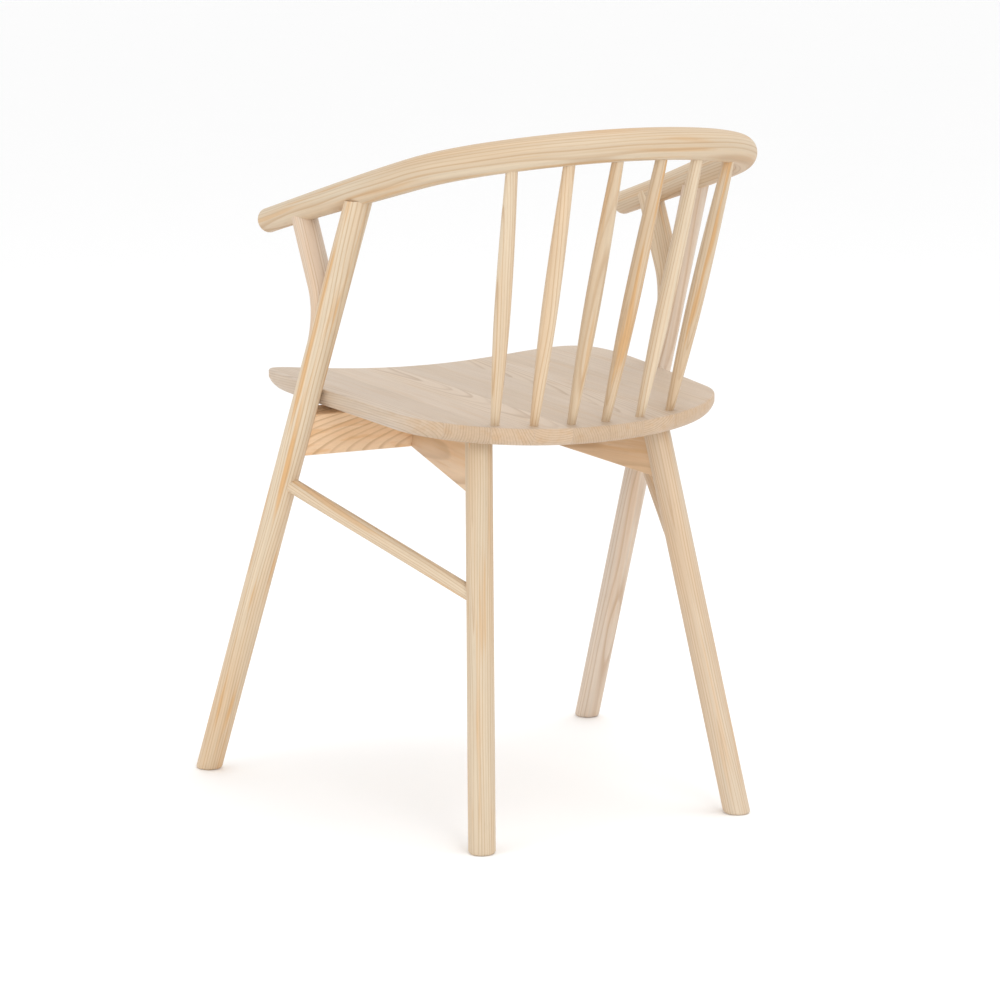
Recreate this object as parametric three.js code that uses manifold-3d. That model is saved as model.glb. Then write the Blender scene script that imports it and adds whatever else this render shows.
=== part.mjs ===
// Spindle-back armchair in solid ash, modelled piece by piece as a chair maker joins it.
// Millimetres, +Z up. The chair faces -Y, its left side is +X, the floor is z = 0 and the origin
// is under the middle of its bounding box. Every joint keeps a glue line of GAP.
import * as THREE from "three";
import { mergeVertices } from "three/addons/utils/BufferGeometryUtils.js";
import Module from "manifold-3d";

const wasm = await Module();
wasm.setup();

// ---------------------------------------------------------------- driving dimensions

const GAP = 0.3; // glue line between two fitted pieces
const SIDES = { left: 1, right: -1 }; // each side's sign of X

// Legs: round sticks. LEAN is how far the axis moves in X and Y per millimetre of height.
const LEG_RADIUS = 15;
const LEG_SIDES = 18;
const FOOT_ROUNDING = 3.5;
const FRONT_LEG_STOCK = 694; // its length before the top is coped to the bow
const REAR_LEG_STOCK = 470; // the same, coped to the seat
const FRONT_FOOT = [259.6, -264.1];
const FRONT_LEAN = [-0.0654, 0.4427];
const REAR_FOOT = [163.4, 212.4];
const REAR_LEAN = [-0.119, -0.2223];

// Bow: one round bar that is both arms and the back's crest, bent in a single tilted plane.
const BOW_CENTRE_HEIGHT = 750; // centreline height at the middle of the back
const BOW_CENTRE_Y = 263.6;
const BOW_TILT = THREE.MathUtils.degToRad(13.85);
const BACK_ARC = { radius: 243, turn: THREE.MathUtils.degToRad(37.7), steps: 5 };
const CORNER_ARC = { radius: 136.5, turn: THREE.MathUtils.degToRad(42.5), steps: 7 };
const ARM_ARC = { radius: 2600, turn: THREE.MathUtils.degToRad(6.27), steps: 4 };
const BOW_RADIUS = 17.35;
const ARM_TIP_RADIUS = 14;
const ARM_TIP_ROUNDING = 3;
const ARM_SWELL_LENGTH = 300; // from the tip to where the bar is full size
const BOW_SIDES = 16;

// Arm forks: the short stick that leans forward out of each front leg to the arm.
const FORK_RADIUS = 14.5;
const FORK_TOP = { x: 225.2, height: 667, ahead: 105 }; // its upper end, ahead of the leg's axis
const FORK_CROSSING = 555; // height at which its straight part points at the leg's axis
const FORK_BEND = 588; // above this height the stick is straight
const FORK_END = 510; // at this height it has run into the leg
const FORK_BLEND_STEPS = 5;

// Spindles: axis foot on the seat and axis head at the bow, for the left half.
const SPINDLES = [
  { foot: [110.9, 149.2, 450.5], head: [135.3, 228.4, 740] },
  { foot: [67.1, 157.3, 447.6], head: [79.3, 252.0, 745.5] },
  { foot: [21.8, 159.5, 445.5], head: [27.1, 264.0, 748.8] },
];
const SPINDLE_FOOT_RADIUS = 5;
const SPINDLE_BELLY_RADIUS = 9;
const SPINDLE_HEAD_RADIUS = 6.1;
const SPINDLE_BELLY_AT = 0.47; // fraction of the length
const SPINDLE_MORTISE = 12; // depth in the seat
const SPINDLE_STEPS = 8;
const SPINDLE_SIDES = 10;

// Seat: a dished panel of edge-glued staves.
const SEAT_CENTRE_Y = 83; // the line where the front and back of the outline meet
const SEAT_HALF_WIDTH = 203.2; // on that line
const SEAT_TAPER = 0.086; // share of the width lost over SEAT_SPAN towards the back
const SEAT_SPAN = 200; // the distance that the seat's rates are given over
const SEAT_BACK = { reach: 98, power: 2.2 };
const SEAT_FRONT = { reach: 318, power: 6.5 };
const SEAT_DATUM = { y: -24, height: 453 };
const SEAT_FALL = 8.6; // fall over SEAT_SPAN towards the back
const SEAT_DROOP = 1.2; // extra fall that far before or behind the datum
const SEAT_DISH = 13.8; // rise that far to either side
const SEAT_DISH_FADE = 0.1; // how much flatter the dish is that far behind the datum
const SEAT_THICKNESS = 19.4;
const SEAT_BAND = 9; // upright part of the edge
const SEAT_UNDERCUT = 7.5; // inset of the underside
const SEAT_EDGE_ROUNDING = 2.5;
const SEAT_RINGS = [0.45, 0.8]; // rings of the faces, as shares of the outline
const SEAT_OUTLINE_STEPS = 56;
const STAVE_WIDTH = 45.5;
const FIRST_STAVE_SEAM = -195.5;
const STAVE_COUNT = 10;
const SEAT_BLANK = 480; // side of the square blank that the seat is sawn from
const SEAT_RELIEF = { grow: 6, raise: 60 }; // the clearance shape that fits pieces under the seat

// Under-frame.
const FRONT_RAIL = { thickness: 22, height: 52, tilt: THREE.MathUtils.degToRad(20) };
const FRONT_RAIL_BOTTOM = { y: -80, z: 391.9 }; // its back lower edge
const SIDE_RAIL_THICKNESS = 20;
const SIDE_RAIL_FRONT = { x: 78.2, y: -78, bottom: 391.9 };
const SIDE_RAIL_REAR = { x: 118.5, y: 128, bottom: 370.2 };
const SIDE_RAIL_START = -12; // where its board starts before it is trimmed to the front rail
const SIDE_RAIL_STOCK = 470; // height of that board's top, trimmed to the seat
const RAIL_TENON = { thickness: 10, depth: 12 };
const STRETCHER_RADIUS = 8.75;
const STRETCHER_SIDES = 12;
const STRETCHER_FRONT_HEIGHT = 362; // on the front leg's axis
const STRETCHER_REAR_HEIGHT = 262; // on the rear leg's axis
const STRETCHER_MORTISE = 12;

// Hidden joinery and fasteners.
const LEG_TENON = { radius: 7, from: 655, length: 46, sides: 10 }; // up into the bow
const FORK_TENON = { radius: 6, back: 32, length: 35, sides: 10 }; // the same, from the fork
const RAIL_TENON_HEIGHTS = [10, 40]; // up the front rail's section
const SIDE_TENON_HEIGHTS = [382, 418]; // above the floor
const RAIL_ZONE = 150; // reaches past the side rails' ends in every direction
const TENON_ROOT = 35; // how far a rail's tenon is drawn back into the rail
const DOWEL_RADIUS = 4;
const FORK_DOWEL = { height: 574, behind: 4, length: 27, fall: 0.15 };
const RAIL_DOWEL = { inFront: 15, inSide: 20, heights: [404, 423] };
const SCREW = { radius: 2, headRadius: 4, headHeight: 3, tip: 0.4, taper: 3, inSeat: 11, inRail: 24 };
const SCREW_BORE = { radius: 5.5, below: 12 }; // the counterbore up from a rail's lower edge
const UNDER_SEAT_STEPS = 5; // corrections that settle where a screw meets the seat
const SIDE_SCREW_POSITIONS = [0.2, 0.72]; // along each side rail
const FRONT_SCREW_X = 38; // to either side of the middle

// ---------------------------------------------------------------- finishes

const ASH = { color: 0xdcc3a1, roughness: 0.62, metalness: 0 };
const ASH_SEAT = { color: 0xd8c6b0, roughness: 0.66, metalness: 0 };
const BEECH_DOWEL = { color: 0xc9a377, roughness: 0.7, metalness: 0 };
const ZINC_STEEL = { color: 0xb9bcc0, roughness: 0.35, metalness: 0.9 };

// ---------------------------------------------------------------- solids

const point = (x, y, z) => new THREE.Vector3(x, y, z);

// A closed geometry as a solid that can be cut and joined.
function solidOf(geometry) {
  const bare = geometry.clone();
  bare.deleteAttribute("normal");
  bare.deleteAttribute("uv");
  const merged = mergeVertices(bare, 1e-4);
  const mesh = new wasm.Mesh({
    numProp: 3,
    vertProperties: merged.attributes.position.array,
    triVerts: new Uint32Array(merged.index.array),
  });
  return new wasm.Manifold(mesh);
}

function geometryOf(solid) {
  const mesh = solid.getMesh();
  const geometry = new THREE.BufferGeometry();
  geometry.setAttribute("position", new THREE.BufferAttribute(mesh.vertProperties, 3));
  geometry.setIndex(new THREE.BufferAttribute(mesh.triVerts, 1));
  geometry.computeVertexNormals();
  return geometry;
}

const cut = (solid, tools) => tools.reduce((rest, tool) => rest.subtract(tool), solid);

// Cuts a piece and keeps its largest part, leaving the offcuts.
function trim(solid, tools) {
  const parts = cut(solid, tools).decompose();
  return parts.reduce((kept, part) => (part.volume() > kept.volume() ? part : kept));
}

// A closed skin over rings of points, each end closed to one point. Seen from the last ring,
// every ring runs anticlockwise.
function skin(first, rings, last) {
  const count = rings[0].length;
  const points = [first, ...rings.flat(), last];
  const end = points.length - 1;
  const top = rings.length - 1;
  const at = (ring, i) => 1 + ring * count + (i % count);
  const index = [];
  for (let i = 0; i < count; i++) {
    index.push(0, at(0, i + 1), at(0, i));
    for (let ring = 0; ring < top; ring++) {
      index.push(at(ring, i), at(ring, i + 1), at(ring + 1, i + 1));
      index.push(at(ring, i), at(ring + 1, i + 1), at(ring + 1, i));
    }
    index.push(at(top, i), at(top, i + 1), end);
  }
  const geometry = new THREE.BufferGeometry().setFromPoints(points);
  geometry.setIndex(index);
  return solidOf(geometry);
}

// A circle of points round a centre; across and up are its two unit directions.
function circle(centre, across, up, radius, sides) {
  return Array.from({ length: sides }, (_, i) => {
    const angle = (i / sides) * 2 * Math.PI;
    return centre
      .clone()
      .addScaledVector(across, radius * Math.cos(angle))
      .addScaledVector(up, radius * Math.sin(angle));
  });
}

// Turns a geometry made along +Z from the origin so that it starts at one point and aims at another.
function aim(geometry, from, to) {
  const direction = to.clone().sub(from).normalize();
  const turn = new THREE.Quaternion().setFromUnitVectors(point(0, 0, 1), direction);
  const place = new THREE.Matrix4().compose(from, turn, point(1, 1, 1));
  return geometry.applyMatrix4(place);
}

// A turned stick between two points. The profile is a list of [radius, distance from the start].
function turned(from, to, profile, sides) {
  const outline = profile.map(([radius, along]) => new THREE.Vector2(radius, along));
  const start = new THREE.Vector2(0, outline[0].y);
  const stop = new THREE.Vector2(0, outline.at(-1).y);
  const lathe = new THREE.LatheGeometry([start, ...outline, stop], sides).rotateX(Math.PI / 2);
  return solidOf(aim(lathe, from, to));
}

function rod(from, to, radius, sides = 8) {
  return turned(from, to, [[radius, 0], [radius, from.distanceTo(to)]], sides);
}

// The point on a straight line from a to b at a distance from a.
function along(a, b, distance) {
  return a.clone().addScaledVector(b.clone().sub(a).normalize(), distance);
}

// A flat outline in the local XY plane, extruded along local Z by depth, centred on it.
function plank(outline, depth, place) {
  const shape = new THREE.Shape(outline.map(([x, y]) => new THREE.Vector2(x, y)));
  const slab = new THREE.ExtrudeGeometry(shape, { depth, bevelEnabled: false, steps: 1 });
  return solidOf(slab.translate(0, 0, -depth / 2).applyMatrix4(place));
}

// ---------------------------------------------------------------- legs

const axisPoint = (foot, lean, side, z) => point(side * (foot[0] + lean[0] * z), foot[1] + lean[1] * z, z);
const frontAxis = (side, z) => axisPoint(FRONT_FOOT, FRONT_LEAN, side, z);
const rearAxis = (side, z) => axisPoint(REAR_FOOT, REAR_LEAN, side, z);

// A leaning round stick whose sections are level, so that its foot sits flat on the floor.
function legStick(axis, side, topHeight, radius, footRounding) {
  const direction = axis(side, 1).sub(axis(side, 0)).normalize();
  const across = point(1, 0, 0).cross(direction).normalize();
  const up = direction.clone().cross(across);
  const level = (z, inset) =>
    circle(axis(side, z), across, up, radius - inset, LEG_SIDES).map((p) =>
      p.addScaledVector(direction, (z - p.z) / direction.z),
    );
  const foot = [0, 0.3, 0.62, 1].map((share) => {
    const angle = (share * Math.PI) / 2;
    return level(footRounding * (1 - Math.cos(angle)), footRounding * (1 - Math.sin(angle)));
  });
  const bottom = footRounding ? foot : [level(0, 0)];
  return skin(axis(side, 0), [...bottom, level(topHeight, 0)], axis(side, topHeight));
}

// ---------------------------------------------------------------- bow

// Walks the half centreline from the middle of the back to the left arm's tip.
// Each station has its place across (x) and along (q) in the bow's plane, and its heading.
function walkBow() {
  const stations = [{ x: 0, q: 0, heading: 0, distance: 0 }];
  for (const arc of [BACK_ARC, CORNER_ARC, ARM_ARC]) {
    const turn = arc.turn / arc.steps;
    const chord = 2 * arc.radius * Math.sin(turn / 2);
    for (let i = 0; i < arc.steps; i++) {
      const last = stations.at(-1);
      const middle = last.heading + turn / 2;
      stations.push({
        x: last.x + chord * Math.cos(middle),
        q: last.q - chord * Math.sin(middle),
        heading: last.heading + turn,
        distance: last.distance + arc.radius * turn,
      });
    }
  }
  return stations;
}

const bowStations = walkBow();
const bowHalfLength = bowStations.at(-1).distance;
const planeNormal = point(0, -Math.sin(BOW_TILT), Math.cos(BOW_TILT));

function bowPoint(x, q) {
  return point(x, BOW_CENTRE_Y + q * Math.cos(BOW_TILT), BOW_CENTRE_HEIGHT + q * Math.sin(BOW_TILT));
}

function bowRadius(fromTip) {
  const share = THREE.MathUtils.smoothstep(fromTip, 0, ARM_SWELL_LENGTH);
  return THREE.MathUtils.lerp(ARM_TIP_RADIUS, BOW_RADIUS, share);
}

// The bar, from the right arm's tip round the back to the left arm's tip.
function bowStick(extra) {
  const full = [
    ...bowStations.slice(1).reverse().map((s) => ({ ...s, x: -s.x, heading: -s.heading })),
    ...bowStations,
  ];
  const ring = (station, radius, shift) => {
    const ahead = bowPoint(Math.cos(station.heading), -Math.sin(station.heading)).sub(bowPoint(0, 0));
    const across = planeNormal.clone().cross(ahead);
    const centre = bowPoint(station.x, station.q).addScaledVector(ahead, shift);
    return { centre, points: circle(centre, across, planeNormal, radius, BOW_SIDES) };
  };
  const body = full.map((s) => ring(s, bowRadius(bowHalfLength - s.distance) + extra, 0));
  // Rounded tips: the bar runs on a little past its first and last stations while it narrows.
  const tip = (station, sign) =>
    [0.5, 0.87, 1].map((share) => {
      const loss = ARM_TIP_ROUNDING * (1 - Math.sqrt(1 - share * share));
      return ring(station, ARM_TIP_RADIUS + extra - loss, sign * ARM_TIP_ROUNDING * share);
    });
  const rings = [...tip(full[0], -1).reverse(), ...body, ...tip(full.at(-1), 1)];
  return skin(rings[0].centre, rings.map((r) => r.points), rings.at(-1).centre);
}

// ---------------------------------------------------------------- arm forks

// The fork's centreline: straight from the arm down to the bend, then a curve into the leg.
function forkPath(side) {
  const top = frontAxis(side, FORK_TOP.height);
  top.y -= FORK_TOP.ahead;
  top.x = side * FORK_TOP.x;
  const crossing = frontAxis(side, FORK_CROSSING);
  const drop = (FORK_TOP.height - FORK_BEND) / (FORK_TOP.height - FORK_CROSSING);
  const bend = top.clone().lerp(crossing, drop);
  return { top, bend, curve: new THREE.QuadraticBezierCurve3(bend, crossing, frontAxis(side, FORK_END)) };
}

function forkStick(side) {
  const { top, bend, curve } = forkPath(side);
  const stations = [];
  for (let i = FORK_BLEND_STEPS; i >= 0; i--) {
    const share = i / FORK_BLEND_STEPS;
    const radius = THREE.MathUtils.lerp(FORK_RADIUS, LEG_RADIUS, share);
    stations.push({ centre: curve.getPoint(share), ahead: curve.getTangent(share).negate(), radius });
  }
  stations.push({ centre: top, ahead: top.clone().sub(bend).normalize(), radius: FORK_RADIUS });
  const rings = stations.map(({ centre, ahead, radius }) => {
    const across = point(1, 0, 0).cross(ahead).normalize();
    return circle(centre, across, ahead.clone().cross(across), radius, LEG_SIDES);
  });
  return skin(stations[0].centre, rings, stations.at(-1).centre);
}

// ---------------------------------------------------------------- spindles

// Extra grows it all over, for the mortises at its two ends.
function spindleStick(foot, head, extra) {
  const length = foot.distanceTo(head);
  const profile = [[SPINDLE_FOOT_RADIUS + extra, -SPINDLE_MORTISE - extra]];
  for (let i = 0; i <= SPINDLE_STEPS; i++) {
    const share = i / SPINDLE_STEPS;
    const below = share < SPINDLE_BELLY_AT;
    const end = below ? SPINDLE_FOOT_RADIUS : SPINDLE_HEAD_RADIUS;
    const rise = below ? share / SPINDLE_BELLY_AT : (1 - share) / (1 - SPINDLE_BELLY_AT);
    const swell = Math.sin((rise * Math.PI) / 2);
    profile.push([end + (SPINDLE_BELLY_RADIUS - end) * swell + extra, share * length]);
  }
  profile.at(-1)[1] += extra;
  return turned(foot, head, profile, SPINDLE_SIDES);
}

// ---------------------------------------------------------------- seat

// The outline's point at an angle: a tapered oval, squarer in front.
function seatOutline(angle, inset) {
  const half = Math.cos(angle) >= 0 ? SEAT_BACK : SEAT_FRONT;
  const wide = Math.abs(Math.sin(angle)) ** (2 / half.power) * Math.sign(Math.sin(angle));
  const deep = Math.abs(Math.cos(angle)) ** (2 / half.power) * Math.sign(Math.cos(angle));
  const ahead = deep * (half.reach - inset);
  const halfWidth = SEAT_HALF_WIDTH * (1 - (SEAT_TAPER * ahead) / SEAT_SPAN);
  return [wide * (halfWidth - inset), SEAT_CENTRE_Y + ahead];
}

function seatHeight(x, y) {
  const back = (y - SEAT_DATUM.y) / SEAT_SPAN;
  const aside = x / SEAT_SPAN;
  const dish = SEAT_DISH * aside ** 2 * (1 - SEAT_DISH_FADE * back);
  return SEAT_DATUM.height - SEAT_FALL * back - SEAT_DROOP * back ** 2 + dish;
}

// The whole panel before it is cut into staves. A larger copy of it, grown and raised,
// trims what stands under the seat.
function seatPanel(grow = 0, raise = 0) {
  const ring = (share, inset, drop) =>
    Array.from({ length: SEAT_OUTLINE_STEPS }, (_, i) => {
      const angle = (-i / SEAT_OUTLINE_STEPS) * 2 * Math.PI;
      const [x, y] = seatOutline(angle, inset - grow);
      const [px, py] = [x * share, SEAT_CENTRE_Y + (y - SEAT_CENTRE_Y) * share];
      return point(px, py, seatHeight(px, py) - drop);
    });
  const under = SEAT_THICKNESS + (grow ? GAP : 0);
  const middle = (drop) => point(0, SEAT_CENTRE_Y, seatHeight(0, SEAT_CENTRE_Y) - drop);
  const corner = SEAT_EDGE_ROUNDING;
  const rings = [
    ...SEAT_RINGS.map((share) => ring(share, SEAT_UNDERCUT, under)),
    ring(1, SEAT_UNDERCUT + 1, under),
    ring(1, SEAT_UNDERCUT - 1.5, under - 1.5),
    ring(1, SEAT_UNDERCUT * 0.3, (under + SEAT_BAND) / 2 + 0.5),
    ring(1, 0, SEAT_BAND),
    ring(1, 0, corner - raise),
    ring(1, corner * 0.3, corner * 0.3 - raise),
    ring(1, corner, -raise),
    ...SEAT_RINGS.toReversed().map((share) => ring(share, corner, -raise)),
  ];
  return skin(middle(under), rings, middle(-raise));
}

// ---------------------------------------------------------------- under-frame

// Frame of the front rail's section: local X runs through its thickness, local Y up its height.
const railLean = point(0, Math.sin(FRONT_RAIL.tilt), Math.cos(FRONT_RAIL.tilt));
const railAhead = point(0, -Math.cos(FRONT_RAIL.tilt), Math.sin(FRONT_RAIL.tilt));

// A bar in that frame: across is its two faces, up its two edges, and it runs from one X to the other.
function frontRailBar(across, up, from, to) {
  const outline = [
    [across[0], up[0]],
    [across[1], up[0]],
    [across[1], up[1]],
    [across[0], up[1]],
  ];
  const place = new THREE.Matrix4().makeBasis(railAhead, railLean, point(-1, 0, 0));
  place.setPosition((from + to) / 2, FRONT_RAIL_BOTTOM.y, FRONT_RAIL_BOTTOM.z);
  return plank(outline, Math.abs(to - from), place);
}

const frontRailReach = frontAxis(1, FRONT_RAIL_BOTTOM.z + FRONT_RAIL.height / 2).x; // to a leg's axis

// The tenon at one end of the front rail; extra grows it into its mortise.
function frontRailTenon(side, extra) {
  const middle = FRONT_RAIL.thickness / 2;
  const half = RAIL_TENON.thickness / 2 + extra;
  const tip = frontRailReach - LEG_RADIUS + RAIL_TENON.depth;
  const heights = [RAIL_TENON_HEIGHTS[0] - extra, RAIL_TENON_HEIGHTS[1] + extra];
  const faces = [middle - half, middle + half];
  return frontRailBar(faces, heights, side * (tip - TENON_ROOT), side * (tip + extra));
}

// Where a side rail starts in plan, its direction and its length to the rear leg's axis.
function sideRailFrame(side) {
  const from = point(side * SIDE_RAIL_FRONT.x, SIDE_RAIL_FRONT.y, 0);
  const to = point(side * SIDE_RAIL_REAR.x, SIDE_RAIL_REAR.y, 0);
  const ahead = to.clone().sub(from);
  const length = ahead.length();
  ahead.normalize();
  return { from, ahead, length };
}

// A board standing under the seat along the side rail's line, from one distance to another,
// with a bottom height at each end and one top height.
function sideRailBoard(side, thickness, [from, to], [bottomFrom, bottomTo], top) {
  const rail = sideRailFrame(side);
  const up = point(0, 0, 1);
  const place = new THREE.Matrix4().makeBasis(rail.ahead, up, rail.ahead.clone().cross(up));
  place.setPosition(rail.from);
  const outline = [
    [from, bottomFrom],
    [to, bottomTo],
    [to, top],
    [from, top],
  ];
  return plank(outline, thickness, place);
}

function sideRailPoint(side, share, z) {
  const { from, ahead, length } = sideRailFrame(side);
  return from.clone().addScaledVector(ahead, share * length).setZ(z);
}

function sideRailBottom(share) {
  return THREE.MathUtils.lerp(SIDE_RAIL_FRONT.bottom, SIDE_RAIL_REAR.bottom, share);
}

// ---------------------------------------------------------------- screws

// A countersunk screw pointing up, its head at the bottom. Extra widens it for its hole.
function screwAt(base, top, extra) {
  const length = base.distanceTo(top);
  const profile = [
    [SCREW.headRadius + extra, -extra],
    [SCREW.radius + extra, SCREW.headHeight],
    [SCREW.radius + extra, length - SCREW.taper],
    [SCREW.tip + extra, length + extra],
  ];
  return turned(base, top, profile, 8);
}

// The point where a line leaning up through a rail meets the seat's underside.
function underSeat(foot, lean) {
  const meeting = foot.clone();
  for (let i = 0; i < UNDER_SEAT_STEPS; i++) {
    const rise = seatHeight(meeting.x, meeting.y) - SEAT_THICKNESS - meeting.z;
    meeting.addScaledVector(lean, rise / lean.z);
  }
  return meeting;
}

// Where the seat is screwed down. Each screw leans as its rail does and starts from its lower edge.
function screwSpots() {
  const spots = [];
  for (const [name, side] of Object.entries(SIDES)) {
    SIDE_SCREW_POSITIONS.forEach((share, i) => {
      const foot = sideRailPoint(side, share, sideRailBottom(share));
      spots.push({ name: `seat_screw_${name}_${i + 1}`, rail: name, foot, lean: point(0, 0, 1) });
    });
    const foot = point(side * FRONT_SCREW_X, FRONT_RAIL_BOTTOM.y, FRONT_RAIL_BOTTOM.z);
    foot.addScaledVector(railAhead, FRONT_RAIL.thickness / 2);
    spots.push({ name: `seat_screw_front_${name}`, rail: "front", foot, lean: railLean });
  }
  return spots.map((spot) => {
    const meeting = underSeat(spot.foot, spot.lean);
    const base = meeting.clone().addScaledVector(spot.lean, -SCREW.inRail);
    const top = meeting.clone().addScaledVector(spot.lean, SCREW.inSeat);
    const mouth = spot.foot.clone().addScaledVector(spot.lean, -SCREW_BORE.below);
    const bore = rod(mouth, base, SCREW_BORE.radius);
    return { ...spot, base, top, bore, hole: screwAt(base, top, GAP) };
  });
}

// ---------------------------------------------------------------- assembly

const chair = new THREE.Group();

function addPiece(name, solid, finish) {
  const mesh = new THREE.Mesh(geometryOf(solid), new THREE.MeshStandardMaterial(finish));
  mesh.name = name;
  chair.add(mesh);
}

// A hole that clears a rod from one point to another by the glue line.
function holeFor(from, to, radius, sides) {
  return rod(along(from, to, -GAP), along(to, from, -GAP), radius + GAP, sides);
}

const bowCutter = bowStick(GAP);
const seatCutter = seatPanel(SEAT_RELIEF.grow, SEAT_RELIEF.raise);
const screws = screwSpots();
const screwHoles = (rail) => screws.filter((s) => s.rail === rail).flatMap((s) => [s.bore, s.hole]);
const bowMortises = [];
const seatMortises = screws.map((s) => s.hole);
const frontRailCuts = [seatCutter, ...screwHoles("front")];
const railStandOff = frontRailBar([-GAP, RAIL_ZONE], [-RAIL_ZONE, RAIL_ZONE], -RAIL_ZONE, RAIL_ZONE);

for (const [name, side] of Object.entries(SIDES)) {
  const frontLegCutter = legStick(frontAxis, side, FRONT_LEG_STOCK, LEG_RADIUS + GAP, 0);
  const rearLegCutter = legStick(rearAxis, side, REAR_LEG_STOCK, LEG_RADIUS + GAP, 0);
  const frontLegCuts = [bowCutter, frontRailTenon(side, GAP)];
  const rearLegCuts = [seatCutter];
  const sideRailCuts = [seatCutter, rearLegCutter, railStandOff, ...screwHoles(name)];
  frontRailCuts.push(frontLegCutter);
  seatMortises.push(frontLegCutter);

  // The fork: its round tenon goes up into the bow, and a dowel crosses its joint to the leg.
  const fork = forkPath(side);
  const forkRoot = along(fork.top, fork.bend, FORK_TENON.back);
  const forkTip = along(forkRoot, fork.top, FORK_TENON.length);
  bowMortises.push(holeFor(forkRoot, forkTip, FORK_TENON.radius, FORK_TENON.sides));
  const dowelBack = frontAxis(side, FORK_DOWEL.height).add(point(0, FORK_DOWEL.behind, 0));
  const dowelAim = dowelBack.clone().add(point(0, -1, -FORK_DOWEL.fall));
  const dowelFront = along(dowelBack, dowelAim, FORK_DOWEL.length);
  const forkDowelHole = holeFor(dowelBack, dowelFront, DOWEL_RADIUS);
  frontLegCuts.push(forkDowelHole);
  addPiece(`arm_fork_dowel_${name}`, rod(dowelBack, dowelFront, DOWEL_RADIUS), BEECH_DOWEL);
  const forkBody = trim(forkStick(side), [bowCutter, frontLegCutter, forkDowelHole]);
  const forkTenon = rod(forkRoot, forkTip, FORK_TENON.radius, FORK_TENON.sides);
  addPiece(`arm_fork_${name}`, forkBody.add(forkTenon), ASH);

  // The stretcher between the two legs, its ends in round mortises.
  const stretcherFront = frontAxis(side, STRETCHER_FRONT_HEIGHT);
  const stretcherRear = rearAxis(side, STRETCHER_REAR_HEIGHT);
  const start = along(stretcherFront, stretcherRear, LEG_RADIUS - STRETCHER_MORTISE);
  const stop = along(stretcherRear, stretcherFront, LEG_RADIUS - STRETCHER_MORTISE);
  const stretcherHole = holeFor(start, stop, STRETCHER_RADIUS, STRETCHER_SIDES);
  frontLegCuts.push(stretcherHole);
  rearLegCuts.push(stretcherHole);
  addPiece(`stretcher_${name}`, rod(start, stop, STRETCHER_RADIUS, STRETCHER_SIDES), ASH);

  // The side rail butts on the front rail and is tenoned into the rear leg.
  const { length } = sideRailFrame(side);
  const board = sideRailBoard(
    side,
    SIDE_RAIL_THICKNESS,
    [SIDE_RAIL_START, length],
    [sideRailBottom(SIDE_RAIL_START / length), sideRailBottom(1)],
    SIDE_RAIL_STOCK,
  );
  const tenonTip = length - LEG_RADIUS + RAIL_TENON.depth;
  const sideTenon = (extra) =>
    sideRailBoard(
      side,
      RAIL_TENON.thickness + 2 * extra,
      [tenonTip - TENON_ROOT, tenonTip + extra],
      [SIDE_TENON_HEIGHTS[0] - extra, SIDE_TENON_HEIGHTS[0] - extra],
      SIDE_TENON_HEIGHTS[1] + extra,
    );
  rearLegCuts.push(sideTenon(GAP));

  // Two dowels fix the side rail's square end to the front rail.
  RAIL_DOWEL.heights.forEach((height, i) => {
    const face = sideRailPoint(side, 0, height);
    face.y = FRONT_RAIL_BOTTOM.y + (height - FRONT_RAIL_BOTTOM.z) * Math.tan(FRONT_RAIL.tilt);
    const from = face.clone().add(point(0, -RAIL_DOWEL.inFront, 0));
    const to = face.clone().add(point(0, RAIL_DOWEL.inSide, 0));
    const hole = holeFor(from, to, DOWEL_RADIUS);
    sideRailCuts.push(hole);
    frontRailCuts.push(hole);
    addPiece(`rail_dowel_${name}_${i + 1}`, rod(from, to, DOWEL_RADIUS), BEECH_DOWEL);
  });
  addPiece(`side_rail_${name}`, trim(board, sideRailCuts).add(sideTenon(0)), ASH);

  // The two legs; the front one has a round tenon up into the bow.
  const tenonRoot = frontAxis(side, LEG_TENON.from);
  const tenonTop = along(tenonRoot, frontAxis(side, FRONT_LEG_STOCK), LEG_TENON.length);
  bowMortises.push(holeFor(tenonRoot, tenonTop, LEG_TENON.radius, LEG_TENON.sides));
  const frontLeg = trim(legStick(frontAxis, side, FRONT_LEG_STOCK, LEG_RADIUS, FOOT_ROUNDING), frontLegCuts);
  const legTenon = rod(tenonRoot, tenonTop, LEG_TENON.radius, LEG_TENON.sides);
  addPiece(`front_leg_${name}`, frontLeg.add(legTenon), ASH);
  const rearLeg = legStick(rearAxis, side, REAR_LEG_STOCK, LEG_RADIUS, FOOT_ROUNDING);
  addPiece(`rear_leg_${name}`, trim(rearLeg, rearLegCuts), ASH);

  // Spindles stand in the seat and run up into the bow.
  SPINDLES.forEach(({ foot, head }, i) => {
    const low = point(side * foot[0], foot[1], foot[2]);
    const high = point(side * head[0], head[1], head[2]);
    addPiece(`spindle_${name}_${i + 1}`, spindleStick(low, high, 0), ASH);
    seatMortises.push(spindleStick(low, high, GAP));
    bowMortises.push(spindleStick(low, high, GAP));
  });
}

addPiece("bow_arm_and_crest_rail", cut(bowStick(0), bowMortises), ASH);

const railStock = frontRailBar(
  [0, FRONT_RAIL.thickness],
  [0, FRONT_RAIL.height],
  -frontRailReach,
  frontRailReach,
);
const frontRail = trim(railStock, frontRailCuts);
addPiece("front_rail", frontRail.add(frontRailTenon(1, 0)).add(frontRailTenon(-1, 0)), ASH);

for (const screw of screws) {
  addPiece(screw.name, screwAt(screw.base, screw.top, 0), ZINC_STEEL);
}

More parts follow.
